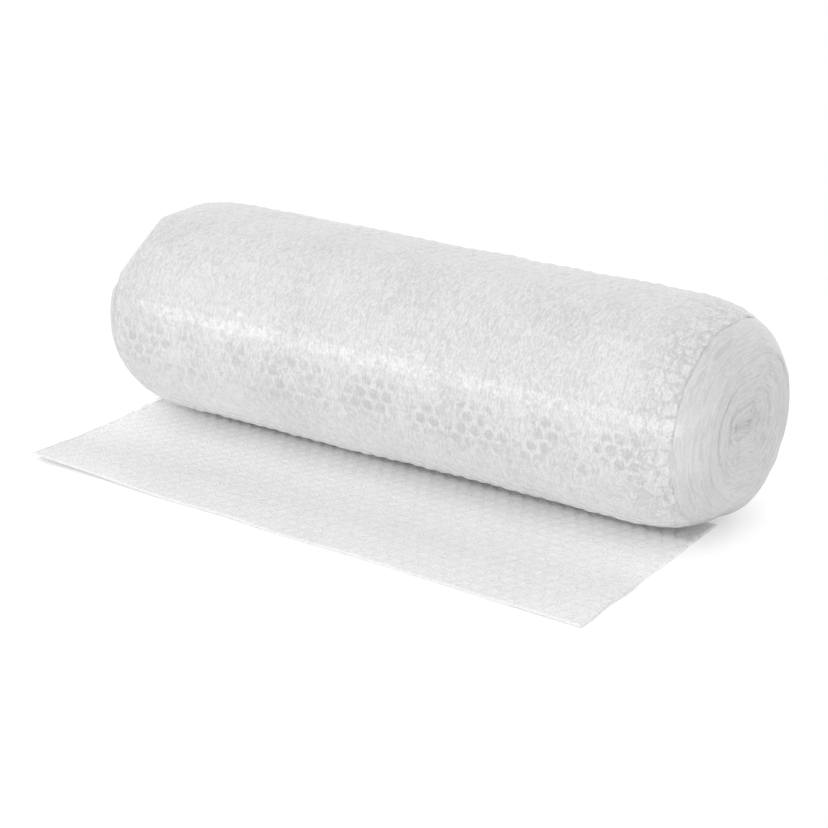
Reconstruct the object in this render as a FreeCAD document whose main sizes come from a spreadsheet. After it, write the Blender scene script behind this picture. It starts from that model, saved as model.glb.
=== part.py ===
import FreeCAD, Part
import math
import os
from FreeCAD import Vector

# Bubble wrap roll: one long web of bubble film, wound up, with its free end unrolled on the floor.
# Millimetres. +X runs along the roll's axis, the free end points to -Y, +Z is up.
# The origin is on the floor, under the roll's axis, at the middle of the web's width.

NODE = "bubble_wrap_roll"

doc = FreeCAD.newDocument("bubble_wrap_roll")
sheet = doc.addObject("Spreadsheet::Sheet", "sizes")

# Driving sizes: alias, value in mm (or degrees for the two lip angles), meaning
SIZES = [
    ("web_width", 500.0, "width of the film web, and of the free end"),
    ("roll_height", 171.0, "height of the wound roll over the floor"),
    ("flat_spot", 24.0, "width of the flat strip that the soft roll sags onto"),
    ("film_base", 0.9, "flat film under the bubbles on the free end"),
    ("bubble_height", 3.8, "height of a bubble above its film"),
    ("turn_gap", 0.5, "slack between one turn and the next"),
    ("centre_hole", 5.0, "least radius left open where the winding starts"),
    ("centre_pit", 20.0, "how deep the open centre shows at each end"),
    ("turn_slide", 1.6, "how far every second turn stands back at the ends"),
    ("left_straight", 196.0, "from the middle to where the left shoulder starts"),
    ("right_straight", 210.0, "from the middle to where the right shoulder starts"),
    ("left_reach", 255.8, "from the middle to the left end"),
    ("right_reach", 275.5, "from the middle to the right end"),
    ("left_shoulder_drop", 25.7, "how far the left shoulder comes in towards the axis"),
    ("right_shoulder_drop", 34.2, "how far the right shoulder comes in towards the axis"),
    ("left_lip_angle", 50.0, "how far round the left shoulder the outer turn folds in"),
    ("right_lip_angle", 45.0, "how far round the right shoulder the outer turn folds in"),
    ("left_dish", 25.0, "depth of the hollow in the left end, where the turns slid away"),
    ("right_dish", 5.0, "depth of the hollow in the right end"),
    ("lip_tuck", 5.0, "how far the turns under a folded lip stay back from it"),
    ("gather_depth", 1.2, "how far the folded lips' gathers stand in or out at their edge"),
    ("crease_reach", 55.0, "from the axis to where the free end's bubbles start"),
    ("free_reach", 180.5, "from the axis to the free edge, at the middle"),
    ("free_skew", 7.3, "how much further the right corner of the free edge lies out"),
    ("edge_margin", 1.5, "plain film between the last bubbles and the free edge"),
    ("bubble_count", 43, "bubbles across the web"),
]
for row, (alias, value, meaning) in enumerate(SIZES, start=1):
    sheet.set(f"A{row}", alias)
    sheet.set(f"B{row}", str(value))
    sheet.set(f"C{row}", meaning)
    sheet.setAlias(f"B{row}", alias)
doc.recompute()

LIP_BANDS = 3
BUBBLE_SIDES = 6
FLATNESS = 1e-6


def size(alias):
    """Value of one driving size, read from the sheet."""
    return float(sheet.get(alias))


radius = size("roll_height") / 2
half_flat = size("flat_spot") / 2
half_web = size("web_width") / 2
web = size("film_base") + size("bubble_height")
pitch = web + size("turn_gap")

# Bubbles stand in staggered rows, each bubble in the middle of a six-sided cell
bubble_pitch = size("web_width") / size("bubble_count")
cell_corner = bubble_pitch / math.sqrt(3)
row_pitch = 1.5 * cell_corner

# A turn is two half circles. Those at the back share one axis, and those at the front share another,
# half a pitch higher, so that each half circle runs on into the next through a short straight run.
back_axis = Vector(0, half_flat, radius)
front_axis = Vector(0, -half_flat, radius + pitch / 2)
turns = int((radius - pitch / 2 - size("centre_hole")) / pitch)
flats = round(math.pi * radius / row_pitch)


class End:
    """One end of the roll: its shoulder is a quarter of an ellipse, from the roll's skin to the end."""

    def __init__(self, side, sign):
        self.sign = sign
        self.straight = size(f"{side}_straight")
        self.length = size(f"{side}_reach") - self.straight
        self.drop = size(f"{side}_shoulder_drop")
        self.dish = size(f"{side}_dish")
        self.angle = math.radians(size(f"{side}_lip_angle"))
        self.rim = radius - self.drop
        self.outer_lip = [self.lip_point(k, 0) for k in range(LIP_BANDS + 1)]
        self.inner_lip = [self.lip_point(k, pitch) for k in range(LIP_BANDS + 1)]

    def lip_point(self, k, depth):
        """Point k of the folded lip, as (x, radius), at a depth under its skin."""
        turn = self.angle * k / LIP_BANDS
        across = math.sin(turn) / self.length
        along = math.cos(turn) / self.drop
        scale = depth / math.hypot(across, along)
        x = self.straight + self.length * math.sin(turn) - across * scale
        r = self.rim + self.drop * math.cos(turn) - along * scale
        return self.sign * x, r

    def flat_point(self, k):
        """Place along X of point k of the lip, where the web lies flat on the floor."""
        return self.sign * (self.straight + (half_web - self.straight) * k / LIP_BANDS)

    def edge(self, r):
        """Place along X of a turn's edge at radius r, on the shoulder or in the dished end."""
        if r <= self.rim:
            return self.sign * (self.straight + self.length - self.dish * (1 - r / self.rim))
        rise = min(r - self.rim, self.drop) / self.drop
        return self.sign * (self.straight + self.length * math.sqrt(1 - rise * rise))

    def tucked_edge(self, r):
        """The same for a turn that ends under the folded lip."""
        drop = self.drop - pitch
        rise = min(max(r - self.rim, 0), drop) / drop
        x = self.straight + (self.length - pitch) * math.sqrt(1 - rise * rise) - size("lip_tuck")
        return self.sign * max(x, self.straight - size("lip_tuck"))

    def turn_edge(self, turn):
        """Place along X of the edge of a turn, counted from the outermost."""
        if turn == 0:
            return self.sign * self.straight
        r = radius - turn * pitch
        under_lip = r > self.inner_lip[-1][1] - size("gather_depth")
        x = self.tucked_edge(r) if under_lip else self.edge(r)
        return x - self.sign * size("turn_slide") * (turn % 2)


left = End("left", -1)
right = End("right", 1)

# Places along X of the turns' edges at each end, and of the bottom of the open centre
for end in (left, right):
    end.edges = [end.turn_edge(turn) for turn in range(turns)]
    end.pit = end.edges[-1] - end.sign * size("centre_pit")


def face(points):
    """Flat face on a closed outline."""
    return Part.Face(Part.makePolygon(points + points[:1]))


def patch(a, b, c, d):
    """Four corners joined by one flat face, or by two where they don't lie in one plane."""
    if (b - a).Length < FLATNESS:
        return [face([a, c, d])]
    normal = (c - a).cross(d - b).normalize()
    if abs((b - a).dot(normal)) < FLATNESS * (c - a).Length:
        return [face([a, b, c, d])]
    return [face([a, b, c]), face([a, c, d])]


def skin(start, end):
    """Faces between two rows of corners, as many in one as in the other."""
    faces = []
    for a, b, c, d in zip(start, start[1:], end[1:], end):
        faces += patch(a, b, c, d)
    return faces


def at_back(x, r, turn):
    """Point at radius r about the back axis, turned from straight below towards +Y."""
    return Vector(x, half_flat + r * math.sin(turn), radius - r * math.cos(turn))


def at_front(x, r, turn):
    """Point of the same turn about the front axis, turned from straight above towards -Y."""
    inner = r - pitch / 2
    return Vector(x, -half_flat - inner * math.sin(turn), front_axis.z + inner * math.cos(turn))


def lip_section(gather):
    """Corners across the outer turn, lips folded in, as (x, radius) pairs, from root to root of its lips."""
    pairs = [(left.edges[1], radius - pitch)] + left.inner_lip + left.outer_lip[::-1]
    pairs += right.outer_lip + right.inner_lip[::-1] + [(right.edges[1], radius - pitch)]
    inward = list(range(LIP_BANDS + 1))
    steps = [0] + inward + inward[::-1] + inward + inward[::-1] + [0]
    return [(x, r + gather * k / LIP_BANDS) for (x, r), k in zip(pairs, steps)]


def flat_section():
    """The same corners where the web lies flat on the floor."""
    inward = list(range(LIP_BANDS + 1))
    pairs = [(left.edges[0], radius - pitch)]
    pairs += [(left.flat_point(k), radius - pitch) for k in inward]
    pairs += [(left.flat_point(k), radius) for k in inward[::-1]]
    pairs += [(right.flat_point(k), radius) for k in inward]
    pairs += [(right.flat_point(k), radius - pitch) for k in inward[::-1]]
    pairs += [(right.edges[0], radius - pitch)]
    return pairs


def outer_turn_rows():
    """Rows of corners of the outer turn, which lies in flats as wide as a row of bubbles.

    It starts flat on the floor in front of the flat spot, folds its lips up over the flat spot,
    and keeps them folded right round the roll. The lips' gathers stand in and out by turns.
    """
    rows = [[Vector(x, -half_flat, radius - r) for x, r in flat_section()]]
    for place in (at_back, at_front):
        for i in range(flats + 1):
            gather = size("gather_depth") * (1 if i % 2 else -1)
            rows.append([place(x, r, math.pi * i / flats) for x, r in lip_section(gather)])
    return rows


def half_turn(corners, axis):
    """Faces that a row of corners sweeps in half a turn about an axis along X."""
    return Part.makePolygon(corners).revolve(axis, Vector(1, 0, 0), 180).Faces


def half_ring(place, x, r, depth):
    """Flat half ring at one place along X: in flats on its outside, at radius r, and round on its inside."""
    outside = [place(x, r, math.pi * i / flats) for i in range(flats + 1)]
    inside = [place(x, r - depth, math.pi * i / 2) for i in range(3)]
    edges = Part.makePolygon([inside[0]] + outside + [inside[2]]).Edges
    edges.append(Part.Arc(*inside).toShape())
    return Part.Face(Part.Wire(edges))


def crossing(start, follow):
    """Place (x, y) where the edges of two layers of the bottom run cross, or None.

    Each layer is given by where its edge lies along X at the run's front and at its back.
    """
    gap_start = start[0] - follow[0]
    gap_end = start[1] - follow[1]
    if gap_start * gap_end >= 0:
        return None
    share = gap_start / (gap_start - gap_end)
    return start[0] + share * (start[1] - start[0]), half_flat * (2 * share - 1)


def bottom_run_faces(end):
    """Faces of one end over the flat spot, where each turn goes over into the next, layer by layer."""
    layers = [(end.edges[turn - 1], end.edges[turn]) for turn in range(1, turns)]
    layers.append((end.pit, end.pit))
    crossings = [None] + [crossing(a, b) for a, b in zip(layers, layers[1:])]
    faces = []
    for i, (x_start, x_end) in enumerate(layers[:-1]):
        low, high = pitch * (i + 1), pitch * (i + 2)
        under = [Vector(*crossings[i], low)] if crossings[i] else []
        over = [Vector(*crossings[i + 1], high)] if crossings[i + 1] else []
        side = [Vector(x_start, -half_flat, low)] + under + [Vector(x_end, half_flat, low)]
        side += [Vector(x_end, half_flat, high)] + over + [Vector(x_start, -half_flat, high)]
        faces.append(face(side))

        # The step to the layer above, in two parts where the edges cross
        next_start, next_end = layers[i + 1]
        front = [Vector(x_start, -half_flat, high), Vector(next_start, -half_flat, high)]
        back = [Vector(next_end, half_flat, high), Vector(x_end, half_flat, high)]
        if over:
            faces += [face(front + over), face(back + over)]
        else:
            faces.append(face(front + back))
    return faces


def wound_end_faces(end):
    """Faces of the inner turns at one end, from the root of the lip to the open centre."""
    faces = bottom_run_faces(end)
    steps = end.edges[1:] + [end.pit]
    for turn in range(1, turns):
        r = radius - turn * pitch
        row = [(steps[turn - 1], r), (steps[turn - 1], r - pitch), (steps[turn], r - pitch)]
        faces += skin([at_back(x, s, math.pi) for x, s in row], [at_front(x, s, 0) for x, s in row])
        if turn == 1:
            faces += [half_ring(place, steps[0], r, pitch) for place in (at_back, at_front)]
            row = row[1:]
        faces += half_turn([at_back(x, s, 0) for x, s in row], back_axis)
        faces += half_turn([at_front(x, s, 0) for x, s in row], front_axis)

    # The centre: the innermost edge of the web, and the bottom of the pit round it
    r = radius - turns * pitch
    web_edge = ((end.edges[-1], r), (end.pit, r), (end.pit, r + pitch), (end.edges[-1], r + pitch))
    faces.append(face([at_front(x, s, math.pi) for x, s in web_edge]))
    bottom = [Part.Arc(*[at_back(end.pit, r, math.pi * i / 2) for i in range(3)]).toShape(),
              Part.Arc(*[at_front(end.pit, r, math.pi * i / 2) for i in range(3)]).toShape(),
              Part.makeLine(at_back(end.pit, r, math.pi), at_front(end.pit, r, 0))]
    corner = Vector(end.pit, -half_flat, radius - r)
    bottom += Part.makePolygon([at_front(end.pit, r, math.pi), corner, at_back(end.pit, r, 0)]).Edges
    faces.append(Part.Face(Part.Wire(Part.__sortEdges__(bottom))))
    return faces


def wound_faces():
    """Faces of the wound web: the outer turn, and at both ends the edges of the turns inside it."""
    rows = outer_turn_rows()
    faces = [face(rows[0])]
    for before, after in zip(rows, rows[1:]):
        faces += skin(before, after)

    # Each lip is closed where it ends, above the free end
    last = rows[-1]
    count = 2 * LIP_BANDS + 3
    faces.append(face(last[1:count]))
    faces.append(face(last[-count:-1]))
    for end in (left, right):
        faces += wound_end_faces(end)
    return faces


def solid_of(faces):
    """Closed solid whose skin is the given faces."""
    shell = Part.makeCompound(faces)
    shell.sewShape(0.001)
    solid = Part.makeSolid(shell.Shells[0])
    if solid.Volume < 0:
        solid.reverse()
    return solid


def free_edge(x):
    """How far the free edge lies from the axis, at a place across the web."""
    return size("free_reach") + size("free_skew") * x / half_web


def free_point(x, along, z):
    """Point of the free end: along is the way out from the crease on a web cut square."""
    reach = size("free_reach") - size("crease_reach")
    out = size("crease_reach") + along * (free_edge(x) - size("crease_reach")) / reach
    return Vector(x, -out, z)


def free_end_faces():
    """Faces of the free end: flat film with staggered rows of six-sided bubbles, film side down."""
    reach = size("free_reach") - size("crease_reach")
    base = size("film_base")
    rows = int((reach - 2 * size("edge_margin") - 2 * cell_corner) / row_pitch) + 1
    count = int(size("bubble_count"))
    outermost = reach - size("edge_margin") - cell_corner
    faces = []

    def point(x, along, z=base):
        return free_point(min(max(x, -half_web), half_web), along, z)

    walls = {-1: [], 1: []}
    for row in range(rows):
        along = outermost - row * row_pitch
        staggered = row % 2 == 1
        for i in range(count + 1 if staggered else count):
            x = -half_web + (i if staggered else i + 0.5) * bubble_pitch
            ring = [(x + cell_corner * math.sin(a), along + cell_corner * math.cos(a))
                    for a in (2 * math.pi * k / BUBBLE_SIDES for k in range(BUBBLE_SIDES))]
            crown = point(x, along, web)
            for (xa, qa), (xb, qb) in zip(ring, ring[1:] + ring[:1]):
                if abs(xa + xb) / 2 < half_web - 0.01 * bubble_pitch or not staggered:
                    faces.append(face([crown, point(xa, qa), point(xb, qb)]))
        for sign, wall in walls.items():
            x = sign * half_web
            if staggered:
                wall += [point(x, along, web), point(x, along - cell_corner)]
            else:
                wall += [point(x, along + cell_corner / 2), point(x, along - cell_corner / 2)]

    # Plain film before the first row and behind the last one, in the same plane as the film between
    def zigzag(row, way):
        along = outermost - row * row_pitch
        staggered = row % 2 == 1
        corners = []
        for step in range(2 * count + 1):
            out = 1 if (step + staggered) % 2 else 0.5
            corners.append(point(-half_web + step * bubble_pitch / 2, along + way * out * cell_corner))
        return corners

    front = zigzag(0, 1)
    rear = zigzag(rows - 1, -1)
    faces.append(face([point(-half_web, reach)] + front + [point(half_web, reach)]))
    faces.append(face([point(-half_web, 0)] + rear + [point(half_web, 0)]))
    for sign, wall in walls.items():
        x = sign * half_web
        faces.append(face([point(x, 0, 0), point(x, reach, 0), point(x, reach)] + wall + [point(x, 0)]))
    for along in (0, reach):
        faces.append(face([point(x, along, z) for x, z in
                           ((-half_web, 0), (half_web, 0), (half_web, base), (-half_web, base))]))
    faces.append(face([point(x, along, 0) for x, along in
                       ((-half_web, 0), (half_web, 0), (half_web, reach), (-half_web, reach))]))
    return faces


wound_web = doc.addObject("Part::Feature", "wound_web")
wound_web.Shape = solid_of(wound_faces())
free_end = doc.addObject("Part::Feature", "free_end")
free_end.Shape = solid_of(free_end_faces())

# The run under the roll's front, from the free end's bubbles to the flat spot
flat_run = doc.addObject("Part::Box", "flat_run")
for measure, value in (("Length", "sizes.web_width"),
                       ("Width", "sizes.crease_reach - sizes.flat_spot / 2"),
                       ("Height", "sizes.film_base + sizes.bubble_height"),
                       ("Placement.Base.x", "-sizes.web_width / 2"),
                       ("Placement.Base.y", "-sizes.crease_reach")):
    flat_run.setExpression(measure, value)

roll = doc.addObject("Part::MultiFuse", NODE)
roll.Label = NODE
roll.Shapes = [wound_web, flat_run, free_end]
doc.recompute()

for item in doc.Objects:
    if "Invalid" in item.State or "Error" in item.State:
        raise RuntimeError(f"{item.Name} failed: {item.State}")
if roll.Shape.isNull() or not roll.Shape.isValid() or len(roll.Shape.Solids) != 1:
    raise RuntimeError(f"{NODE} is not one valid solid")

os.makedirs("parts", exist_ok=True)
roll.Shape.exportStep(f"parts/{NODE}.step")
print(f"{NODE}: {roll.Shape.Volume / 1e6:.3f} litres, {len(roll.Shape.Faces)} faces, {turns} turns")
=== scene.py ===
"""Bubble wrap roll: a wound web of bubble film, with its free end unrolled on the floor.

Metres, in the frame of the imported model: +X runs along the roll's axis, the free end points to -Y,
and +Z is up. The origin is on the floor, under the roll's axis, at the middle of the web's width.
"""

import logging
import math
from collections.abc import Callable, Mapping, Sequence
from dataclasses import dataclass, field
from enum import Enum

import bpy
import numpy as np
from mathutils import Matrix, Vector
from numpy.typing import NDArray

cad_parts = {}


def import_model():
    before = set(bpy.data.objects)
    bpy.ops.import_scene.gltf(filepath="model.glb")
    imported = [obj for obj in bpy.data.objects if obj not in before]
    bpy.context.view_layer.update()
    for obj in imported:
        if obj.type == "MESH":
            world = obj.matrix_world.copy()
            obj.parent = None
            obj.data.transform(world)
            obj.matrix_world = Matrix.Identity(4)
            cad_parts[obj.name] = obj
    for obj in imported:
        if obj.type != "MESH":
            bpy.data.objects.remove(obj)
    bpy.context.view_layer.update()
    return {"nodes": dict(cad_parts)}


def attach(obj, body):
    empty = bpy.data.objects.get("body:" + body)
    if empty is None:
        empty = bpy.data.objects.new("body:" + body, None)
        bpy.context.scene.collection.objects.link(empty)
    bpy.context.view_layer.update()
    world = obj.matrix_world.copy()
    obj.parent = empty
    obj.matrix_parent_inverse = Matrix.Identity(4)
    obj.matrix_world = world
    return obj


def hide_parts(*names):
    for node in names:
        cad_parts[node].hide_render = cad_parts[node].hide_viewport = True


Numbers = NDArray[np.float64]
Indices = NDArray[np.int64]

LOG = logging.getLogger("bubble_wrap_roll")
MM = 0.001
NODE = "bubble_wrap_roll"
BODY = "root"
BLACK = (0.0, 0.0, 0.0, 1.0)
WHITE = (1.0, 1.0, 1.0, 1.0)
LATTICE_MAP = "bubble_rows"


class Side(Enum):
    """End of the roll; the value is the sign of X there."""

    LEFT = -1
    RIGHT = 1


def smooth_rise(value: Numbers, low: float, high: float) -> Numbers:
    """Rise from 0 at low to 1 at high: with t the clipped share of the way, t * t * (3 - 2 * t).

    Args:
        value: Values to look at.
        low: Value at which the rise starts; it may be above high for a fall.
        high: Value at which the rise is complete.

    Returns:
        The rise at each value.
    """
    share = np.clip((value - low) / (high - low), 0.0, 1.0)
    return share * share * (3.0 - 2.0 * share)


@dataclass
class Ripple:
    """Smooth seeded noise between -1 and 1 over two coordinates, the second of which may close on itself."""

    seed: int
    cells: int = 64
    table: Numbers = field(init=False)

    def __post_init__(self) -> None:
        """Draw the heights at the corners of the cells."""
        self.table = np.random.default_rng(self.seed).uniform(-1.0, 1.0, (self.cells, self.cells))

    def at(self, across: Numbers, along: Numbers, period: int = 0) -> Numbers:
        """Height at each place, blended between the four corners of its cell with smooth weights.

        Args:
            across: First coordinate, in cells.
            along: Second coordinate, in cells.
            period: Number of cells after which the second coordinate repeats, or 0 for the table's own.

        Returns:
            The heights, in the shape that the coordinates have together.
        """
        across, along = np.broadcast_arrays(across, along)
        repeat = period or self.cells
        col = np.floor(across).astype(int)
        row = np.floor(along).astype(int)
        u = smooth_rise(across - col, 0.0, 1.0)
        v = smooth_rise(along - row, 0.0, 1.0)
        left, right = col % self.cells, (col + 1) % self.cells
        low, high = (row % repeat) % self.cells, ((row + 1) % repeat) % self.cells
        lower = self.table[left, low] * (1 - u) + self.table[right, low] * u
        upper = self.table[left, high] * (1 - u) + self.table[right, high] * u
        return lower * (1 - v) + upper * v


@dataclass(frozen=True)
class RoundRipple:
    """Ripple over the web that closes round the roll.

    Its height is in mm, its cells are so many mm across the web, and so many of them go once round.
    """

    seed: int
    height: float
    across: float
    count: int

    def at(self, across: Numbers, rounds: Numbers) -> Numbers:
        """Height at each place.

        Args:
            across: Place across the web, in mm.
            rounds: Way round the roll, as a share of once round.

        Returns:
            The heights, in mm.
        """
        return self.height * Ripple(self.seed).at(across / self.across, rounds * self.count, self.count)


@dataclass
class Surface:
    """Mesh in the making: points, the corners of its faces in one row, and each corner's map place."""

    points: Numbers
    corners: Indices
    starts: Indices
    places: Numbers

    @classmethod
    def from_grid(cls, points: Numbers, across: Numbers, along: Numbers, close: tuple[bool, bool],
                  wraps: tuple[float, float] = (0.0, 0.0)) -> "Surface":
        """Quads between neighbours of a grid of points.

        Args:
            points: Array of rows x columns x 3.
            across: Map place across for each point, rows x columns.
            along: Map place along for each point, rows x columns.
            close: Whether the rows, and the columns, close on themselves.
            wraps: What the map gains where the rows, and the columns, close.

        Returns:
            The surface.
        """
        rows, columns = points.shape[:2]
        i, j = np.meshgrid(np.arange(rows if close[0] else rows - 1),
                           np.arange(columns if close[1] else columns - 1), indexing="ij")
        ring = [(i, j), (i, j + 1), (i + 1, j + 1), (i + 1, j)]
        corners = np.stack([(a % rows) * columns + b % columns for a, b in ring], axis=-1)
        place = [np.stack([across[a % rows, b % columns] + wraps[0] * (a >= rows),
                           along[a % rows, b % columns] + wraps[1] * (b >= columns)], axis=-1)
                 for a, b in ring]
        places = np.stack(place, axis=-2).reshape(-1, 2)
        return cls(points.reshape(-1, 3), corners.reshape(-1), np.arange(i.size) * 4, places)

    def welded(self, reach: float = 1e-6) -> "Surface":
        """The surface with points at one place made one, and faces that this leaves flat taken out.

        Args:
            reach: Grid step within which two points count as one.

        Returns:
            The welded surface.
        """
        keys = np.round(self.points / reach).astype(np.int64)
        _, first, same = np.unique(keys, axis=0, return_index=True, return_inverse=True)
        corners = same.reshape(-1)[self.corners]
        totals = np.diff(np.append(self.starts, len(corners)))
        owner = np.repeat(np.arange(len(totals)), totals)
        position = np.arange(len(corners)) - self.starts[owner]
        before = self.starts[owner] + (position - 1) % totals[owner]
        keep = corners != corners[before]
        left = np.bincount(owner[keep], minlength=len(totals))
        keep &= left[owner] >= 3
        left = np.bincount(owner[keep], minlength=len(totals))
        left = left[left > 0]
        return Surface(self.points[first], corners[keep], np.cumsum(left) - left, self.places[keep])

    def volume(self) -> float:
        """Volume inside: a sixth of the sum of a . (b x c) over the faces cut into triangles."""
        totals = np.diff(np.append(self.starts, len(self.corners)))
        total = 0.0
        for size in np.unique(totals):
            start = self.starts[totals == size]
            first = self.points[self.corners[start]]
            for step in range(1, size - 1):
                second = self.points[self.corners[start + step]]
                third = self.points[self.corners[start + step + 1]]
                total += float(np.einsum("ij,ij->", first, np.cross(second, third)))
        return total / 6.0

    def outward(self) -> "Surface":
        """The surface with its faces turned outwards."""
        if self.volume() >= 0.0:
            return self
        totals = np.diff(np.append(self.starts, len(self.corners)))
        owner = np.repeat(np.arange(len(totals)), totals)
        position = np.arange(len(self.corners)) - self.starts[owner]
        order = self.starts[owner] + totals[owner] - 1 - position
        return Surface(self.points, self.corners[order], self.starts, self.places[order])

    def mesh(self, name: str) -> bpy.types.Mesh:
        """Blender mesh of the surface, in metres, smooth, with its map."""
        mesh = bpy.data.meshes.new(name)
        mesh.vertices.add(len(self.points))
        mesh.vertices.foreach_set("co", (self.points * MM).astype(np.float32).ravel())
        mesh.loops.add(len(self.corners))
        mesh.loops.foreach_set("vertex_index", self.corners.astype(np.int32))
        mesh.polygons.add(len(self.starts))
        mesh.polygons.foreach_set("loop_start", self.starts.astype(np.int32))
        mesh.update(calc_edges=True)
        mesh.validate()
        mesh.polygons.foreach_set("use_smooth", np.ones(len(mesh.polygons), dtype=bool))
        uv = mesh.uv_layers.new(name=LATTICE_MAP)
        uv.data.foreach_set("uv", (self.places * MM).astype(np.float32).ravel())
        return mesh


def add_piece(name: str, surface: Surface, material: bpy.types.Material) -> bpy.types.Object:
    """Put a surface into the scene as a piece that rides with the roll and stands for its solid.

    Args:
        name: Name of the piece.
        surface: Its shape.
        material: Its finish.

    Returns:
        The new object.
    """
    mesh = surface.mesh(name)
    mesh.materials.append(material)
    piece = bpy.data.objects.new(name, mesh)
    bpy.context.scene.collection.objects.link(piece)
    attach(piece, BODY)
    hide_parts(NODE)
    return piece


@dataclass(frozen=True)
class Web:
    """The bubble film, in mm."""

    width: float = 500.0
    count: int = 43
    film: float = 0.9
    bubble: float = 3.8
    bubble_radius: float = 4.9

    @property
    def pitch(self) -> float:
        """Step from bubble to bubble across the web."""
        return self.width / self.count

    @property
    def cell(self) -> float:
        """Distance from a bubble's middle to a corner of its six-sided cell."""
        return self.pitch / math.sqrt(3.0)

    @property
    def row(self) -> float:
        """Step from row to row along the web."""
        return 1.5 * self.cell

    def nearest(self, across: Numbers, along: Numbers) -> tuple[Numbers, Numbers, Numbers]:
        """Nearest bubble of the staggered rows.

        The rows are two plain lattices, one shifted by half a step both ways; the nearer of the two
        nearest points is the bubble.

        Args:
            across: Place across the web.
            along: Place along the web.

        Returns:
            Distance from the bubble's middle, and the bubble's place across and along.
        """
        step = np.array([self.pitch, 2.0 * self.row])
        place = np.stack(np.broadcast_arrays(across, along), axis=-1)
        plain = (np.floor(place / step) + 0.5) * step
        shifted = np.round(place / step) * step
        far_plain = np.linalg.norm(place - plain, axis=-1)
        far_shifted = np.linalg.norm(place - shifted, axis=-1)
        middle = np.where((far_plain < far_shifted)[..., None], plain, shifted)
        return np.minimum(far_plain, far_shifted), middle[..., 0], middle[..., 1]


@dataclass(frozen=True)
class Shoulder:
    """One end of the roll, in mm: a quarter of an ellipse from the skin to the end, then a hollow."""

    side: Side
    straight: float
    reach: float
    drop: float
    lip_angle: float
    dish: float
    skin: float = 83.8

    @property
    def length(self) -> float:
        """Length of the shoulder along X."""
        return self.reach - self.straight

    @property
    def rim(self) -> float:
        """Radius at which the end is furthest out."""
        return self.skin - self.drop

    @property
    def lip_radius(self) -> float:
        """Radius of the folded lip's edge."""
        return self.rim + self.drop * math.cos(math.radians(self.lip_angle))

    def lip_line(self, samples: int = 200) -> Numbers:
        """Lip from the straight part to its edge, as rows of x and depth under the skin.

        x = straight + length * sin(t) and depth = drop * (1 - cos(t)), for t from 0 to the lip's angle.
        """
        turn = np.linspace(0.0, math.radians(self.lip_angle), samples)
        x = self.straight + self.length * np.sin(turn)
        return np.stack([x, self.drop * (1.0 - np.cos(turn))], axis=-1)

    def edge(self, radius: Numbers) -> Numbers:
        """Distance along X of the turns' edges: the shoulder's ellipse, then a straight slope inwards."""
        rise = np.clip((radius - self.rim) / self.drop, 0.0, 1.0)
        shoulder = self.straight + self.length * np.sqrt(1.0 - rise * rise)
        hollow = self.reach - self.dish * (1.0 - np.clip(radius / self.rim, 0.0, 1.0))
        return np.where(radius > self.rim, shoulder, hollow)


@dataclass(frozen=True)
class Loop:
    """The outer turn seen along X: two half circles joined by two straight runs, in mm.

    The front half is half a pitch smaller and half a pitch higher, as in the winding, so that the turn
    comes round one pitch above the floor, over the free end.
    """

    radius: float = 83.8
    half_flat: float = 10.0
    pitch: float = 5.2

    @property
    def length(self) -> float:
        """Length once round."""
        return math.pi * (2.0 * self.radius - self.pitch / 2.0) + 4.0 * self.half_flat

    def at(self, along: Numbers) -> tuple[Numbers, Numbers, Numbers, Numbers]:
        """Where the loop is, a way along it, starting at the floor behind the flat spot.

        Args:
            along: Way along the loop.

        Returns:
            Centre (y, z), radius, outward direction (y, z), and how far through the bottom run, 0 to 1.
        """
        small = self.radius - self.pitch / 2.0
        ends = np.cumsum([math.pi * self.radius, 2 * self.half_flat, math.pi * small, 2 * self.half_flat])
        top = np.clip((along - ends[0]) / (ends[1] - ends[0]), 0.0, 1.0)
        bottom = np.clip((along - ends[2]) / (ends[3] - ends[2]), 0.0, 1.0)
        turn = np.where(along <= ends[0], along / self.radius,
                        math.pi + np.clip(along - ends[1], 0.0, math.pi * small) / small)
        front = top * (1.0 - bottom)
        raised = self.pitch / 2.0 * front
        centre = np.stack([self.half_flat * (1.0 - 2.0 * front), self.radius + raised], axis=-1)
        outward = np.stack([np.sin(turn), -np.cos(turn)], axis=-1)
        return centre, self.radius - raised, outward, bottom


@dataclass(frozen=True)
class Press:
    """A flat slanting place on the soft left end, high up at its front, as if it had been leant on."""

    normal: tuple[float, float, float] = (-0.6989, -0.3768, 0.6079)
    level: float = 272.1
    give: float = 0.92

    def at(self, points: Numbers, inset: float = 0.0) -> Numbers:
        """Points moved back towards the plane: p - give * max(p . normal - level + inset, 0) * normal.

        Args:
            points: Points in mm.
            inset: How far under the plane this layer is held.

        Returns:
            The pressed points.
        """
        normal = np.array(self.normal)
        beyond = np.maximum(points @ normal - self.level + inset, 0.0)
        return points - self.give * beyond[..., None] * normal


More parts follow.
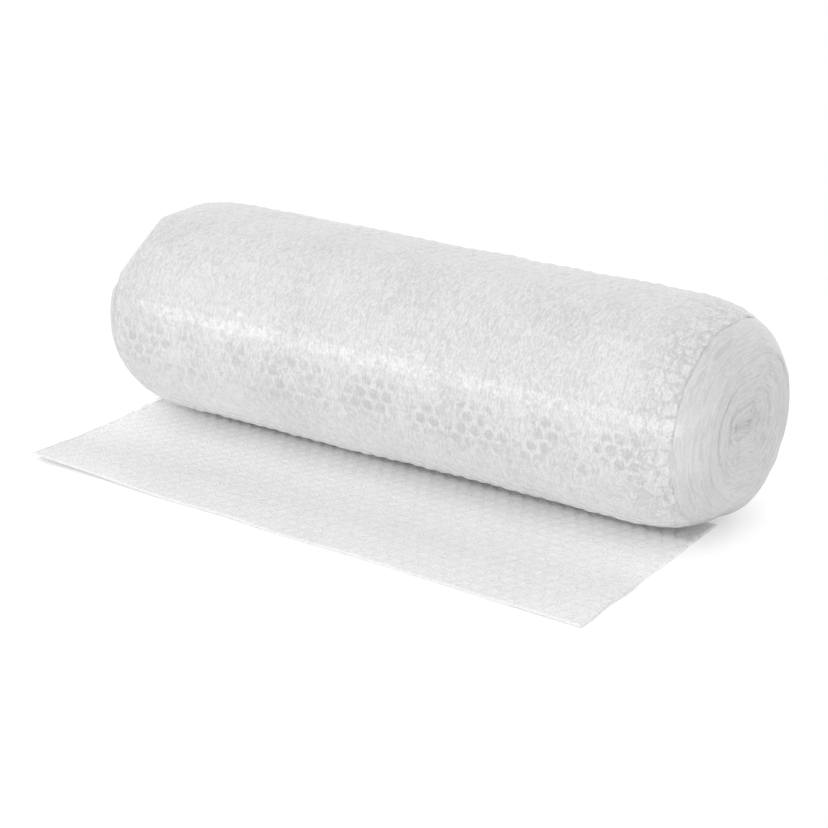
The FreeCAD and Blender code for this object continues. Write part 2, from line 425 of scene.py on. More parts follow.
@dataclass
class WoundFilm:
    """The outer turn of the roll, a closed wall of film whose lips fold in over both ends."""

    web: Web
    loop: Loop
    left: Shoulder
    right: Shoulder
    wall: float = 0.9
    ragged: float = 0.6
    hidden: float = 3.0
    settled: float = 0.15
    across_cells: int = 312
    around_cells: int = 304
    inner_rows: int = 7
    lip_rows: int = 4
    lip_part: float = 0.13
    lumps: tuple[RoundRipple, ...] = (RoundRipple(3, 0.8, 46.0, 11), RoundRipple(4, 0.35, 19.0, 29))
    streaks: tuple[RoundRipple, ...] = (RoundRipple(5, 0.12, 5.2, 26), RoundRipple(6, 0.08, 3.7, 43))
    creases: RoundRipple = RoundRipple(7, 1.0, 60.0, 54)
    pleats: RoundRipple = RoundRipple(8, 1.0, 30.0, 130)
    tears: tuple[RoundRipple, ...] = (RoundRipple(12, 1.0, 1.0, 23), RoundRipple(13, 0.6, 1.0, 61))
    crease_height: float = 1.9
    pleat_height: float = 1.2
    gather_depth: float = 1.5
    bulge: float = 0.5
    bulge_change: float = 0.6
    tilt: float = 0.12

    def profile(self) -> tuple[Numbers, Numbers, Numbers, Numbers]:
        """Line across the web, from lip edge to lip edge, in even steps.

        Returns:
            x, depth under the skin, slope (angle of the outward direction from the radius towards +X),
            and place across the web, measured along the film from the middle.
        """
        right = self.right.lip_line()
        left = self.left.lip_line()[::-1] * (-1.0, 1.0)
        line = np.vstack([left, right])
        steps = np.linalg.norm(np.diff(line, axis=0), axis=1)
        way = np.concatenate([[0.0], np.cumsum(steps)])
        middle = np.interp(0.0, line[:, 0], way)
        even = np.linspace(0.0, way[-1], self.across_cells)
        x = np.interp(even, way, line[:, 0])
        depth = np.interp(even, way, line[:, 1])
        slope = np.arctan2(np.gradient(depth, even), np.gradient(x, even))
        return x, depth, slope, even - middle

    def lip_share(self, x: Numbers) -> Numbers:
        """How far out on a lip a place is: 0 on the straight part, 1 at the lip's edge."""
        shares = []
        for end in (self.left, self.right):
            edge = end.lip_line()[-1, 0]
            shares.append(np.clip((x * end.side.value - end.straight) / (edge - end.straight), 0.0, 1.0))
        return np.maximum(*shares)

    def relief(self, x: Numbers, across: Numbers, along: Numbers) -> tuple[Numbers, Numbers]:
        """How far the film stands out from its even shape.

        Lumps of a few bubbles, ripples that run round the roll, and gathers that deepen towards the lips'
        edges make the first part. The second part is the pillow over each bubble: a cosine hill, higher
        or lower from bubble to bubble.

        Args:
            x: Place along X, as a column.
            across: Place across the web, as a column.
            along: Way round the roll, as a row.

        Returns:
            The two parts, in mm.
        """
        rounds = along / self.loop.length
        lumps = sum(ripple.at(across, rounds) for ripple in self.lumps)
        streaks = sum(ripple.at(across, rounds) for ripple in self.streaks)
        share = self.lip_share(x)
        crease = 1.0 - np.abs(self.creases.at(x, rounds))
        pleat = 1.0 - np.abs(self.pleats.at(x, rounds))
        calm = 1.0 - 0.85 * smooth_rise(share, 0.65, 0.95)
        gathers = share ** 1.5 * (self.crease_height * crease + self.pleat_height * pleat - self.gather_depth)

        # Each bubble takes its own height and lean from its middle
        far, middle_across, middle_along = self.web.nearest(across, along)
        height = 1.0 + self.bulge_change * Ripple(9).at(middle_across * 0.91, middle_along * 0.87)
        tilt_across = self.tilt * Ripple(10).at(middle_across * 0.93, middle_along * 0.89)
        tilt_along = self.tilt * Ripple(11).at(middle_across * 0.97, middle_along * 0.91)
        tilt = tilt_across * (across - middle_across) + tilt_along * (along - middle_along)
        hill = np.cos(np.clip(far / self.web.cell, 0.0, 1.0) * math.pi / 2.0) ** 2
        pillows = (self.bulge * height + tilt) * hill * calm * (1.0 - 0.5 * share)
        return (lumps + streaks + gathers) * calm, pillows

    def points(self, x: Numbers, depth: Numbers, slope: Numbers, relief: Numbers, along: Numbers,
               inset: float = 0.0) -> Numbers:
        """Points of the film, each standing out from its even place, square to the slope.

        They are centre + (radius - depth + relief * cos(slope)) * outward, at x + relief * sin(slope).

        Args:
            x: Place along X of each row.
            depth: Depth under the skin of each point, rows x columns.
            slope: Slope of each row.
            relief: How far each point stands out, rows x columns.
            along: Way round the roll of each column.
            inset: How far under the pressed place this layer is held.

        Returns:
            The points, rows x columns x 3.
        """
        centre, radius, outward, _ = self.loop.at(along)
        reach = radius[None, :] - depth + relief * np.cos(slope)[:, None]
        across = x[:, None] + relief * np.sin(slope)[:, None]
        points = np.concatenate([across[..., None], centre[None] + reach[..., None] * outward[None]], axis=-1)
        return Press().at(points, inset)

    def surface(self) -> Surface:
        """Outer skin and inner wall, joined over the lips' edges."""
        x, depth, slope, across = self.profile()
        along = np.arange(self.around_cells) / self.around_cells * self.loop.length
        broad, pillows = self.relief(x[:, None], across[:, None], along[None, :])
        floor = self.floor_ease(along)
        rounds = along / self.loop.length
        torn = sum(ripple.at(0.0 * rounds, rounds) for ripple in self.tears)
        depth = depth[:, None] + self.lip_share(x)[:, None] ** 4 * torn[None, :] * self.ragged
        skin = self.points(x, depth, slope, (broad + pillows) * floor - self.settled, along)

        # The inner wall has fewer rows. It lies one wall's thickness inside at the lips' edges, and
        # deeper between them.
        lips = np.linspace(0, 1, self.lip_rows) * self.lip_part
        share = np.concatenate([lips, np.linspace(0.2, 0.8, self.inner_rows), 1 - lips[::-1]])
        pick = np.round(share[::-1] * (self.across_cells - 1)).astype(int)
        under = smooth_rise(np.minimum(share, 1.0 - share), 0.0, 0.03)[::-1, None]
        sunk = broad[pick] * floor * (1.0 - under) - self.wall - self.hidden * under
        wall = self.points(x[pick], depth[pick], slope[pick], sunk, along, self.hidden)
        grid = np.concatenate([skin, wall])
        place_across = np.concatenate([across, across[pick]])[:, None] + np.zeros_like(along)[None, :]
        place_along = along[None, :] + np.zeros(len(grid))[:, None]
        shape = Surface.from_grid(grid, place_across, place_along, (True, True), (0.0, self.loop.length))
        return shape.outward()

    def floor_ease(self, along: Numbers) -> Numbers:
        """Weight that presses the film flat where it rests: 0 on the floor and 1 well above it."""
        centre, radius, outward, _ = self.loop.at(along)
        height = centre[:, 1] + radius * outward[:, 1]
        return smooth_rise(height, 0.0, 9.0)[None, :]

    def build(self, material: bpy.types.Material) -> bpy.types.Object:
        """Make the outer turn in its finish."""
        return add_piece("outer_turn", self.surface(), material)


@dataclass
class WoundEnd:
    """The edges of the inner turns at one end, seen inside the folded lip."""

    loop: Loop
    shoulder: Shoulder
    rings: int = 116
    around_cells: int = 300
    bead: float = 0.3
    slide: float = 0.9
    sway: float = 0.5
    overlap: float = 5.0
    tuck: float = 0.5
    tuck_under: float = 5.0
    inset: float = 3.0
    hole: float = 3.0
    pit: float = 3.0
    backing: float = 14.0

    def surface(self) -> Surface:
        """Dished disc whose turns stand out as beads along a spiral.

        The turn at a depth d under the skin is the whole part of d / pitch - b, with b the way through
        the bottom run, and the rest f makes its bead, bead * (4 f (1 - f)) ** 0.5. Each turn stands out by
        its own amount, which drifts along the web. Near the axis the beads end in a pit, and near the lip
        they calm down and tuck in under it.
        """
        shoulder = self.shoulder
        seed = 20 + shoulder.side.value
        along = np.arange(self.around_cells) / self.around_cells * self.loop.length
        centre, radius, outward, bottom = self.loop.at(along)
        inner = shoulder.skin - shoulder.lip_radius - self.overlap
        depth = np.linspace(inner, self.loop.radius - self.loop.pitch / 2.0, self.rings)[:, None]
        level = self.loop.radius - depth
        turn = depth / self.loop.pitch - bottom[None, :]
        whole = np.floor(turn)
        part = turn - whole
        web_way = whole + along[None, :] / self.loop.length
        slid = self.slide * Ripple(seed).at(web_way * 2.3, np.zeros_like(web_way))
        wave = self.sway * Ripple(seed + 5).at(turn * 0.7, along[None, :] / self.loop.length * 34, 34)
        bead = self.bead * np.sqrt(np.clip(4.0 * part * (1.0 - part), 0.0, 1.0))
        lip = shoulder.lip_radius
        calm = 1.0 - smooth_rise(level, lip - 12.0, lip - 2.0)
        tuck = self.tuck + self.tuck_under * smooth_rise(level, lip - 0.5, lip + 4.0)
        pit = self.pit * smooth_rise(level, self.hole + 3.0, 0.0)
        out = shoulder.edge(level) + (slid + wave + bead - self.bead) * calm - tuck - pit
        x = out * shoulder.side.value
        reach = radius[None, :] - depth
        ring = centre[None] + reach[..., None] * outward[None]
        front = np.concatenate([np.broadcast_to(x[..., None], ring.shape[:2] + (1,)), ring], axis=-1)
        axis = front[-1].copy()
        axis[:, 1:] = centre
        front = Press().at(front, self.inset)
        rim = front[0] - [self.backing * shoulder.side.value, 0.0, 0.0]
        back = axis.copy()
        back[:, 0] = (shoulder.reach - shoulder.dish - self.backing) * shoulder.side.value
        grid = np.stack([back, rim, *front, axis])
        levels = np.concatenate([[0.0, level[0, 0]], level[:, 0], [0.0]])
        place_across = levels[:, None] + np.zeros_like(along)[None, :]
        place_along = along[None, :] + np.zeros(len(grid))[:, None]
        shape = Surface.from_grid(grid, place_across, place_along, (False, True), (0.0, self.loop.length))
        return shape.welded().outward()

    def build(self, material: bpy.types.Material) -> bpy.types.Object:
        """Make the end in its finish."""
        return add_piece(f"{self.shoulder.side.name.lower()}_end_turns", self.surface(), material)


@dataclass
class FreeEnd:
    """The unrolled end of the web: film on the floor with staggered rows of round bubbles on it."""

    web: Web
    reach: float = 180.5
    skew: float = 7.3
    start: float = -10.0
    margin: float = 1.5
    covered: float = 14.0
    film_rows: int = 76
    film_columns: int = 200
    sides: int = 12
    rings: tuple[tuple[float, float], ...] = ((0.35, 0.97), (0.68, 0.84), (0.90, 0.55), (1.0, -0.05))
    square_to: float = 20.0
    corner_lift: float = 3.6
    sway: float = 1.1
    wave_height: float = 0.6
    wave_level: float = 0.35

    def laid(self, across: Numbers, out: Numbers, height: Numbers) -> Numbers:
        """Points of the sheet as it lies.

        The free edge is askew, so a place further out is stretched by a share that grows across. The sheet
        sways a little along its edges, the left front corner curls up, and long shallow waves lift it.

        Args:
            across: Place across the web.
            out: Distance from the axis on a sheet cut square.
            height: Height over the sheet's underside.

        Returns:
            The points.
        """
        reach = np.clip((out - self.square_to) / (self.reach - self.square_to), 0.0, 1.0)
        skewed = out + reach * self.skew * across / (self.web.width / 2.0)
        y = -(skewed + reach * self.sway * Ripple(41).at(across / 60.0, out * 0.0))
        side = across / (self.web.width / 2.0)
        x = across + side * self.sway * Ripple(42).at(out / 24.0, np.sign(across) + 3.0)
        corner = smooth_rise(-side, 0.45, 1.0) * smooth_rise(out, 105.0, self.reach)
        waves = self.wave_height * Ripple(43).at(across / 52.0, out / 34.0) + self.wave_level
        away = smooth_rise(out, 70.0, 120.0)
        lift = self.corner_lift * corner ** 1.6 + np.maximum(waves, 0.0) * away
        return np.stack([x, y, height + lift], axis=-1)

    @property
    def first_row(self) -> float:
        """Distance from the axis to the middles of the outermost bubbles."""
        return self.reach - self.margin - self.web.cell

    def film(self) -> Surface:
        """Closed sheet: out over the top and back along the underside, pinched shut at its sides."""
        half = self.web.width / 2.0
        out = np.linspace(self.start, self.reach, self.film_rows)
        column = np.linspace(-half, half, self.film_columns)
        around = np.concatenate([out, out[::-1]])[:, None]
        across = np.concatenate([[-half], column, [half]])[None, :]
        height = np.repeat([self.web.film, 0.0], self.film_rows)[:, None] + 0.0 * across
        height[:, [0, -1]] = self.web.film / 2.0
        across, around = np.broadcast_arrays(across, around)
        points = self.laid(across, around, height)
        return Surface.from_grid(points, across, self.first_row - around, (True, False)).welded().outward()

    def bubbles(self) -> Surface:
        """Closed domes in staggered rows.

        A dome is a crown and rings of points about its middle, at the given shares of its radius and height,
        on a flat underside. Bubbles differ a little in height, and lean a little. Points beyond the web's
        edges are brought back onto them, which cuts the outer bubbles through.
        """
        web = self.web
        half = web.width / 2.0
        rows = np.arange(0, int((self.first_row - self.covered) / web.row) + 1)
        across = [(np.arange(web.count + row % 2) + 0.5 - 0.5 * (row % 2)) * web.pitch - half for row in rows]
        out = self.first_row - np.repeat(rows, [len(line) for line in across]) * web.row
        middle = np.stack([np.concatenate(across), out], axis=-1)
        turn = np.arange(self.sides) / self.sides * 2.0 * math.pi
        direction = np.stack([np.sin(turn), np.cos(turn)], axis=-1)
        height = web.bubble * (0.78 + 0.16 * Ripple(44).at(middle[:, 0] * 0.93, middle[:, 1] * 0.89))
        lean = 0.4 * np.stack([Ripple(seed).at(middle[:, 0], middle[:, 1]) for seed in (45, 46)], axis=-1)
        share, rise = np.array(self.rings).T
        place = (middle[:, None, None] + (share * web.bubble_radius)[None, :, None, None] * direction
                 + rise[None, :, None, None] * lean[:, None, None])
        level = np.broadcast_to((rise * height[:, None])[..., None, None], place.shape[:3] + (1,))
        rings = np.concatenate([place, level], axis=-1)
        crown = np.concatenate([middle + lean, height[:, None]], axis=-1)
        flat = np.vstack([crown, rings.reshape(-1, 3)])
        flat[:, 0] = np.clip(flat[:, 0], -half, half)

        cells, layers, sides = rings.shape[:3]
        ring_at = (cells + np.arange(cells * layers * sides)).reshape(cells, layers, sides)
        follow = np.roll(np.arange(sides), -1)
        crown_at = np.broadcast_to(np.arange(cells)[:, None], (cells, sides))
        caps = np.stack([crown_at, ring_at[:, 0], ring_at[:, 0][:, follow]], axis=-1).reshape(-1, 3)
        upper, lower = ring_at[:, :-1], ring_at[:, 1:]
        quads = np.stack([upper, lower, lower[..., follow], upper[..., follow]], axis=-1).reshape(-1, 4)
        under = ring_at[:, -1, ::-1]
        corners = np.concatenate([caps.ravel(), quads.ravel(), under.ravel()])
        totals = np.concatenate([np.full(len(caps), 3), np.full(len(quads), 4), np.full(len(under), sides)])
        points = self.laid(flat[:, 0], flat[:, 1], flat[:, 2] + web.film)
        places = np.stack([flat[corners, 0], self.first_row - flat[corners, 1]], axis=-1)
        return Surface(points, corners, np.cumsum(totals) - totals, places).welded().outward()

    def build_film(self, material: bpy.types.Material) -> bpy.types.Object:
        """Make the flat film in its finish."""
        return add_piece("free_end_film", self.film(), material)

    def build_bubbles(self, material: bpy.types.Material) -> bpy.types.Object:
        """Make the bubbles in their finish."""
        return add_piece("free_end_bubbles", self.bubbles(), material)


@dataclass(frozen=True)
class Value:
    """One output of a node, with arithmetic that adds Math nodes."""

    graph: "Graph"
    socket: bpy.types.NodeSocket

    def __add__(self, other: "Value | float") -> "Value":
        """Sum."""
        return self.graph.math("ADD", self, other)

    __radd__ = __add__

    def __sub__(self, other: "Value | float") -> "Value":
        """Difference."""
        return self.graph.math("SUBTRACT", self, other)

    def __rsub__(self, other: float) -> "Value":
        """Difference from a number."""
        return self.graph.math("SUBTRACT", other, self)

    def __mul__(self, other: "Value | float") -> "Value":
        """Product."""
        return self.graph.math("MULTIPLY", self, other)

    __rmul__ = __mul__

    def rise(self, low: float, high: float) -> "Value":
        """Smooth rise from 0 at low to 1 at high."""
        return self.graph.node("ShaderNodeMapRange", {"interpolation_type": "SMOOTHSTEP"},
                               {"Value": self, "From Min": low, "From Max": high})


Setting = float | int | str | bool | Value | Sequence[float]


@dataclass
class Graph:
    """Nodes of one material or of the world."""

    tree: bpy.types.NodeTree

    def make(self, kind: str, settings: Mapping[str, Setting] | None = None,
             inputs: Mapping[str | int, Setting] | None = None) -> bpy.types.Node:
        """Add a node.

        Args:
            kind: The node's type.
            settings: Properties of the node, set before its sockets.
            inputs: Value or link of each socket, by name or number.

        Returns:
            The node.
        """
        node = self.tree.nodes.new(kind)
        for name, setting in (settings or {}).items():
            setattr(node, name, setting)
        for name, setting in (inputs or {}).items():
            if isinstance(setting, Value):
                self.tree.links.new(setting.socket, node.inputs[name])
            else:
                node.inputs[name].default_value = setting
        return node

    def node(self, kind: str, settings: Mapping[str, Setting] | None = None,
             inputs: Mapping[str | int, Setting] | None = None, output: str | int = 0) -> Value:
        """Add a node and take one of its outputs."""
        return Value(self, self.make(kind, settings, inputs).outputs[output])

    def math(self, operation: str, first: Value | float, second: Value | float = 0.0) -> Value:
        """Add a Math node."""
        return self.node("ShaderNodeMath", {"operation": operation}, {0: first, 1: second})

    def blend(self, factor: Value | float, first: Setting, second: Setting) -> Value:
        """Colour between two, by a factor."""
        return self.node("ShaderNodeMix", {"data_type": "RGBA"}, {0: factor, 6: first, 7: second}, 2)

    def scaled(self, vector: Value, scale: Sequence[float],
               shift: Value | Sequence[float] = (0.0, 0.0, 0.0)) -> Value:
        """Vector times a scale on each axis, plus a shift."""
        return self.node("ShaderNodeVectorMath", {"operation": "MULTIPLY_ADD"},
                         {0: vector, 1: scale, 2: shift})

    def noise(self, vector: Value, detail: float = 2.0, roughness: float = 0.5,
              distortion: float = 0.0) -> Value:
        """Noise between 0 and 1 with features about one unit wide."""
        return self.node("ShaderNodeTexNoise", {}, {"Vector": vector, "Scale": 1.0, "Detail": detail,
                                                    "Roughness": roughness, "Distortion": distortion}, "Fac")


@dataclass(frozen=True)
class FilmFinish:
    """Glossy film with trapped air behind it: milky and finely wrinkled, with light and shade painted in.

    It is darker behind the bubbles: faintly everywhere as the film's own pattern, and strongly as painted
    shade in a belt on the roll's steep sides. Light threads along the wrinkles' ridges are painted
    highlights, bright specks are painted glints, lines in the lips' creases are painted shade, and
    emission by the crease is a painted glow.

    The wrinkles' size and the relief's depth are in mm. The scales are cells in a metre, and the places
    from which and to which something rises are in metres. Bubbles follow the piece's own map.
    """

    name: str
    milk: tuple[float, float, float, float]
    shade: tuple[float, float, float, float]
    # How much darker it is behind the bubbles: the film's own pattern, and painted shade in the belt
    spot: float
    wrinkle: float
    wrinkle_size: tuple[float, float]
    mottle: float = 1.6
    frost: float = 0.9
    # Strength of the painted highlights along the wrinkles' ridges
    painted_ridge_highlight: float = 0.5
    # Strength of the painted shade in the lips' creases
    fold: float = 0.0
    # Share of cells that hold a painted glint
    painted_glint: float = 0.1
    rim: float = 0.0
    # Strength of the painted glow that lifts the shade next to the crease
    through: float = 0.0
    roughness: float = 0.24
    coat: float = 0.7
    coat_roughness: float = 0.12
    relief_depth: float = 1.0
    cloud_scale: float = 21.0
    patch_scale: float = 34.0
    grain_scale: float = 520.0
    painted_glint_scale: float = 210.0
    crease_scale: float = 95.0
    rim_rise: tuple[float, float] = (0.034, 0.060)
    # Heights between which the painted shade behind the bubbles shows strongly, in metres
    belt_top: tuple[float, float] = (0.106, 0.090)
    belt_foot: tuple[float, float] = (0.052, 0.074)
    # Where the painted glow lies: low down, and in a band in front of the axis, in metres
    glow_below: tuple[float, float] = (0.060, 0.008)
    glow_from: tuple[float, float] = (-0.135, -0.070)
    glow_to: tuple[float, float] = (-0.022, -0.034)

    def material(self, web: Web) -> bpy.types.Material:
        """Make the material.

        Args:
            web: Film whose bubbles the pattern follows.

        Returns:
            The material.
        """
        material = bpy.data.materials.new(self.name)
        material.use_nodes = True
        material.node_tree.nodes.clear()
        graph = Graph(material.node_tree)
        place = graph.node("ShaderNodeUVMap", {"uv_map": LATTICE_MAP})
        solid = graph.node("ShaderNodeTexCoord", {}, {}, "Object")

        clouds = graph.noise(graph.scaled(solid, (self.cloud_scale,) * 3), 3.0, 0.55)
        across_scale, along_scale = (1000.0 / size for size in self.wrinkle_size)
        wrinkles = graph.noise(graph.scaled(place, (across_scale, along_scale, 1.0)), 2.0, 0.6, 0.5)
        ridges = 1.0 - graph.math("ABSOLUTE", wrinkles * 2.0 - 1.0)
        # Thin light lines along the wrinkles' ridges: painted highlights
        painted_ridge_highlights = ridges.rise(0.84, 1.0)
        grain = graph.noise(graph.scaled(solid, (self.grain_scale,) * 3), 2.0, 0.6)

        # 0 is the milk's colour and 1 the shade's
        shading = ((clouds - 0.5) * 0.5 + (wrinkles - 0.5) * self.mottle + (grain - 0.5) * self.frost
                   - painted_ridge_highlights * self.painted_ridge_highlight + 0.55)
        # Darker behind the bubbles: faintly the film's own pattern, strongly painted shade in a belt on the
        # roll
        if self.spot:
            bubble_spots_and_painted_shade = self.bubble_mask(graph, web, place) * self.spot_belt_with_painted_shade(graph, solid)
            shading = shading + bubble_spots_and_painted_shade * self.spot
        # Painted shade in the lines where the lips are crumpled
        if self.fold:
            shading = shading + self.painted_lip_crease_shade(graph, web, place, solid) * self.fold
        # Bright specks: painted glints
        if self.painted_glint:
            shading = shading - self.specks(graph, solid) * 0.8
        if self.rim:
            across = graph.node("ShaderNodeSeparateXYZ", {}, {0: place}, "X")
            shading = shading - across.rise(*self.rim_rise) * self.rim
        # Painted glow: emission that lifts the shade under the roll's overhang, by the crease
        glow = graph.blend(self.painted_crease_glow(graph, solid), BLACK, WHITE) if self.through else BLACK
        colour = graph.blend(shading.rise(0.0, 1.0), self.milk, self.shade)
        roughness = self.roughness + (clouds - 0.5) * 0.12

        height = wrinkles * 0.7 + grain * 0.45
        relief = graph.node("ShaderNodeBump", {}, {"Strength": self.wrinkle, "Height": height,
                                                   "Distance": self.relief_depth * MM}, "Normal")
        shader = graph.node("ShaderNodeBsdfPrincipled", {},
                            {"Base Color": colour, "Roughness": roughness, "IOR": 1.5, "Normal": relief,
                             "Coat Weight": self.coat, "Coat Roughness": self.coat_roughness,
                             "Coat Normal": relief, "Emission Strength": 1.0, "Emission Color": glow})
        graph.make("ShaderNodeOutputMaterial", {}, {"Surface": shader})
        return material

    def spot_belt_with_painted_shade(self, graph: Graph, solid: Value) -> Value:
        """How plainly the darker spots show: faintly everywhere, as the film's own pattern, and strongly,
        as painted shade, in a ragged belt on the roll's steep sides.
        """
        height = graph.node("ShaderNodeSeparateXYZ", {}, {0: solid}, "Z")
        patches = graph.noise(graph.scaled(solid, (self.patch_scale,) * 3), 2.0, 0.6)
        belt = height.rise(*self.belt_top) * height.rise(*self.belt_foot)
        return 0.08 + belt * patches.rise(0.38, 0.62)

    def painted_lip_crease_shade(self, graph: Graph, web: Web, place: Value, solid: Value) -> Value:
        """Painted shade in the lines where the film is crumpled, from the shoulders' starts to the lips'
        edges.
        """
        across = graph.math("ABSOLUTE", graph.node("ShaderNodeSeparateXYZ", {}, {0: place}, "X"))
        bent = graph.node("ShaderNodeTexNoise", {}, {"Vector": solid, "Scale": 60.0, "Detail": 2.0}, "Color")
        moved = graph.scaled(bent, (0.012, 0.012, 0.012), solid)
        edges = graph.node("ShaderNodeTexVoronoi", {"feature": "DISTANCE_TO_EDGE"},
                           {"Vector": moved, "Scale": self.crease_scale, "Randomness": 1.0}, "Distance")
        start = web.width / 2.0 * MM
        return across.rise(start - 0.040, start + 0.010) * (1.0 - edges.rise(0.0, 0.16))

    def specks(self, graph: Graph, solid: Value) -> Value:
        """Painted glints: small bright specks, one in some of the cells of a loose 5 mm pattern."""
        cells = {"Vector": solid, "Scale": self.painted_glint_scale, "Randomness": 1.0}
        near = graph.node("ShaderNodeTexVoronoi", {"feature": "F1"}, cells, "Distance")
        pick = graph.node("ShaderNodeTexVoronoi", {"feature": "F1"}, cells, "Color")
        chosen = graph.node("ShaderNodeSeparateColor", {}, {0: pick}, "Red")
        return (1.0 - near.rise(0.04, 0.14)) * chosen.rise(1.0 - self.painted_glint, 1.0 - self.painted_glint + 0.02)

    def painted_crease_glow(self, graph: Graph, solid: Value) -> Value:
        """Faint painted glow that lifts the shade where the roll hangs over the film, next to the crease."""
        out = graph.node("ShaderNodeSeparateXYZ", {}, {0: solid}, "Y")
        height = graph.node("ShaderNodeSeparateXYZ", {}, {0: solid}, "Z")
        under = height.rise(*self.glow_below) * out.rise(*self.glow_from) * out.rise(*self.glow_to)
        return under * self.through

    def bubble_mask(self, graph: Graph, web: Web, place: Value) -> Value:
        """Value of 1 behind each bubble and 0 between the bubbles.

        The staggered rows are two plain lattices; the smaller of the distances to them is measured.
        """
        step = (web.pitch * MM, 2.0 * web.row * MM, 1.0)
        nearest: Value | None = None
        for shift in ((0.0, 0.0, 0.0), (0.5, 0.5, 0.0)):
            cell = graph.scaled(place, (1.0 / step[0], 1.0 / step[1], 0.0), shift)
            inside = graph.node("ShaderNodeVectorMath", {"operation": "FRACTION"}, {0: cell})
            offset = graph.scaled(inside, step, (-step[0] / 2.0, -step[1] / 2.0, 0.0))
            far = graph.node("ShaderNodeVectorMath", {"operation": "LENGTH"}, {0: offset}, "Value")
            nearest = far if nearest is None else graph.math("MINIMUM", nearest, far)
        return 1.0 - nearest.rise(web.bubble_radius * 0.72 * MM, web.bubble_radius * 1.02 * MM)


@dataclass(frozen=True)
class ClearFinish:
    """Clear thin film over air: nearly all seen through, with glints where it is crumpled."""

    name: str
    tint: tuple[float, float, float, float]
    cover: float
    roughness: float = 0.12
    coat_roughness: float = 0.06
    relief: float = 0.8
    relief_depth: float = 0.8

    def material(self, web: Web) -> bpy.types.Material:
        """Make the material.

        Args:
            web: Film that the finish belongs to.

        Returns:
            The material.
        """
        material = bpy.data.materials.new(self.name)
        material.use_nodes = True
        material.node_tree.nodes.clear()
        graph = Graph(material.node_tree)
        solid = graph.node("ShaderNodeTexCoord", {}, {}, "Object")
        folds = graph.noise(graph.scaled(solid, (1000.0 / web.bubble,) * 3), 2.0, 0.7)
        relief = graph.node("ShaderNodeBump", {}, {"Strength": self.relief, "Height": folds,
                                                   "Distance": self.relief_depth * MM}, "Normal")
        shader = graph.node("ShaderNodeBsdfPrincipled", {},
                            {"Base Color": self.tint, "Roughness": self.roughness, "IOR": 1.5,
                             "Normal": relief, "Alpha": self.cover, "Coat Weight": 1.0,
                             "Coat Roughness": self.coat_roughness, "Coat Normal": relief})
        graph.make("ShaderNodeOutputMaterial", {}, {"Surface": shader})
        return material


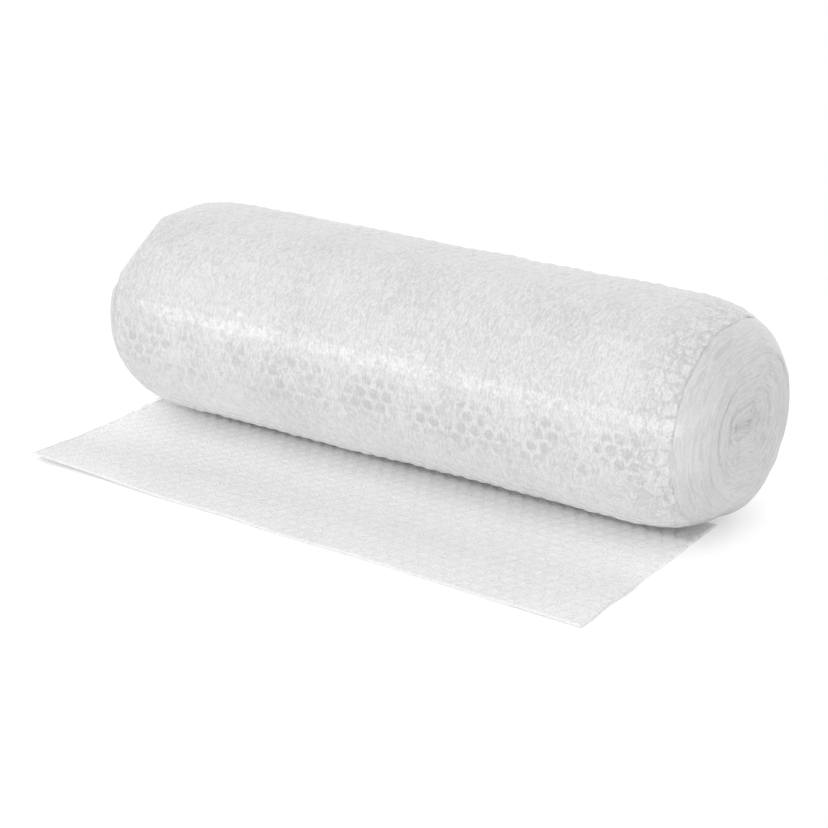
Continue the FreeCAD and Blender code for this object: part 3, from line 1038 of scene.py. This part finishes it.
@dataclass
class Studio:
    """Pale floor, soft light and the camera at the photograph's angle."""

    camera_place: tuple[float, float, float] = (0.8790, -1.3105, 0.6460)
    camera_target: tuple[float, float, float] = (-0.00533, -0.00533, 0.03634)
    lens: float = 95.07
    lamp_target: tuple[float, float, float] = (0.0, 0.0, 0.085)
    floor_half: float = 6.0
    floor_grey: float = 0.9
    floor_lift: float = 0.30
    floor_level: float = -0.0003
    sky: float = 0.98
    horizon: float = 0.92

    def camera(self) -> None:
        """Place the camera, upright, aimed at the target."""
        data = bpy.data.cameras.new("photo_camera")
        data.lens = self.lens
        data.sensor_width = 36.0
        data.sensor_fit = "HORIZONTAL"
        camera = bpy.data.objects.new("photo_camera", data)
        place = Vector(self.camera_place)
        aim = (Vector(self.camera_target) - place).to_track_quat("-Z", "Y")
        camera.matrix_world = Matrix.Translation(place) @ aim.to_matrix().to_4x4()
        bpy.context.scene.collection.objects.link(camera)
        bpy.context.scene.camera = camera

    def softbox(self, name: str, bearing: float, height: float, away: float, size: tuple[float, float],
                power: float) -> None:
        """Add a soft lamp that faces the roll.

        Args:
            name: Name of the lamp.
            bearing: Degrees round from -Y towards +X.
            height: Degrees above the floor.
            away: Distance from the roll's middle, in metres.
            size: Width and height of the lamp, in metres.
            power: Watts.
        """
        data = bpy.data.lights.new(name, "AREA")
        data.shape = "RECTANGLE"
        data.size, data.size_y = size
        data.energy = power
        lamp = bpy.data.objects.new(name, data)
        turn, rise = math.radians(bearing), math.radians(height)
        level = math.cos(rise)
        direction = Vector((math.sin(turn) * level, -math.cos(turn) * level, math.sin(rise)))
        middle = Vector(self.lamp_target)
        rotation = (-direction).to_track_quat("-Z", "Y").to_matrix().to_4x4()
        lamp.matrix_world = Matrix.Translation(middle + direction * away) @ rotation
        bpy.context.scene.collection.objects.link(lamp)

    def world(self) -> None:
        """White to the camera; for light, a pale sky that is brighter overhead than at the horizon."""
        world = bpy.data.worlds.new("studio")
        world.use_nodes = True
        world.node_tree.nodes.clear()
        graph = Graph(world.node_tree)
        direction = graph.node("ShaderNodeTexCoord", {}, {}, "Generated")
        height = graph.node("ShaderNodeSeparateXYZ", {}, {0: direction}, "Z")
        level = self.horizon + (self.sky - self.horizon) * height.rise(-0.1, 0.9)
        light = graph.node("ShaderNodeBackground", {}, {"Color": WHITE, "Strength": level})
        white = graph.node("ShaderNodeBackground", {}, {"Color": WHITE, "Strength": 1.0})
        seen = graph.node("ShaderNodeLightPath", {}, {}, "Is Camera Ray")
        mixed = graph.node("ShaderNodeMixShader", {}, {0: seen, 1: light, 2: white})
        graph.make("ShaderNodeOutputWorld", {}, {"Surface": mixed})
        bpy.context.scene.world = world

    def floor(self) -> None:
        """Lay the floor: pale, matt, and white to the camera away from the roll's shadow."""
        edge = self.floor_half
        mesh = bpy.data.meshes.new("floor")
        level = self.floor_level
        around = [(-edge, -edge), (edge, -edge), (edge, edge), (-edge, edge)]
        mesh.from_pydata([(x, y, level) for x, y in around], [], [(0, 1, 2, 3)])
        floor = bpy.data.objects.new("floor", mesh)
        bpy.context.scene.collection.objects.link(floor)
        material = bpy.data.materials.new("pale_floor")
        material.use_nodes = True
        material.node_tree.nodes.clear()
        graph = Graph(material.node_tree)
        matt = graph.node("ShaderNodeBsdfDiffuse", {}, {"Color": (self.floor_grey,) * 3 + (1.0,)})
        lift = graph.node("ShaderNodeEmission", {}, {"Color": WHITE, "Strength": self.floor_lift})
        both = graph.node("ShaderNodeAddShader", {}, {0: matt, 1: lift})
        white = graph.node("ShaderNodeEmission", {}, {"Color": WHITE, "Strength": 1.0})
        place = graph.node("ShaderNodeTexCoord", {}, {}, "Object")
        away = graph.node("ShaderNodeVectorMath", {"operation": "LENGTH"}, {0: place}, "Value")
        near = graph.node("ShaderNodeMixShader", {}, {0: away.rise(0.30, 0.62), 1: both, 2: white})
        seen = graph.node("ShaderNodeLightPath", {}, {}, "Is Camera Ray")
        surface = graph.node("ShaderNodeMixShader", {}, {0: seen, 1: matt, 2: near})
        graph.make("ShaderNodeOutputMaterial", {}, {"Surface": surface})
        mesh.materials.append(material)

    def build(self) -> None:
        """Set the whole stage."""
        bpy.context.scene.view_settings.view_transform = "Standard"
        self.camera()
        self.world()
        self.floor()
        self.softbox("front_softbox", -36.0, 9.0, 2.6, (1.2, 0.18), 3.3)
        self.softbox("low_fill", 12.0, 4.0, 2.2, (2.6, 0.6), 9.0)


def plain(box: Sequence[Sequence[float]]) -> list[list[float]]:
    """A box as plain lists of numbers."""
    return [[float(number) for number in corner] for corner in box]


def main() -> None:
    """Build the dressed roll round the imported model."""
    logging.basicConfig(level=logging.INFO, format="%(name)s: %(message)s")
    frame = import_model()
    LOG.info("frame with nodes %s", ", ".join(frame["nodes"]))
    Studio().build()

    web = Web()
    loop = Loop()
    left = Shoulder(Side.LEFT, straight=196.0, reach=255.8, drop=25.7, lip_angle=50.0, dish=25.0)
    right = Shoulder(Side.RIGHT, straight=210.0, reach=275.5, drop=34.2, lip_angle=45.0, dish=5.0)

    # These finishes paint light and shade into the films' colour: shade behind the bubbles in a belt on the
    # roll, shade in the lips' creases, highlights along the wrinkles' ridges, glints, and a glow by the
    # crease.
    wound = FilmFinish("wound_film", milk=(0.79, 0.79, 0.79, 1.0), shade=(0.54, 0.54, 0.54, 1.0), spot=0.32,
                       wrinkle=0.32, wrinkle_size=(3.0, 8.4), mottle=0.26, frost=0.55, painted_ridge_highlight=0.36, fold=0.35,
                       through=0.05)
    laid = FilmFinish("laid_film", milk=(0.98, 0.98, 0.98, 1.0), shade=(0.84, 0.84, 0.84, 1.0), spot=0.1,
                      wrinkle=0.7, wrinkle_size=(2.4, 2.6), mottle=1.0, frost=2.0, painted_glint=0.6, through=0.17)
    edges = FilmFinish("turn_edges", milk=(0.70, 0.70, 0.70, 1.0), shade=(0.42, 0.42, 0.42, 1.0), spot=0.0,
                       wrinkle=0.15, wrinkle_size=(2.6, 46.0), mottle=0.35, frost=0.4, painted_ridge_highlight=0.2, painted_glint=0.3,
                       rim=0.12)
    caps = ClearFinish("clear_bubbles", tint=(0.97, 0.97, 0.97, 1.0), cover=0.16)

    free_end = FreeEnd(web)
    builders: list[tuple[Callable[[bpy.types.Material], bpy.types.Object], FilmFinish | ClearFinish]] = [
        (WoundFilm(web, loop, left, right).build, wound),
        (WoundEnd(loop, left).build, edges),
        (WoundEnd(loop, right).build, edges),
        (free_end.build_film, laid),
        (free_end.build_bubbles, caps),
    ]
    made: dict[str, bpy.types.Material] = {}
    for build, finish in builders:
        if finish.name not in made:
            made[finish.name] = finish.material(web)
        piece = build(made[finish.name])
        LOG.info("%s: %d faces", piece.name, len(piece.data.polygons))


if __name__ == "__main__":
    main()
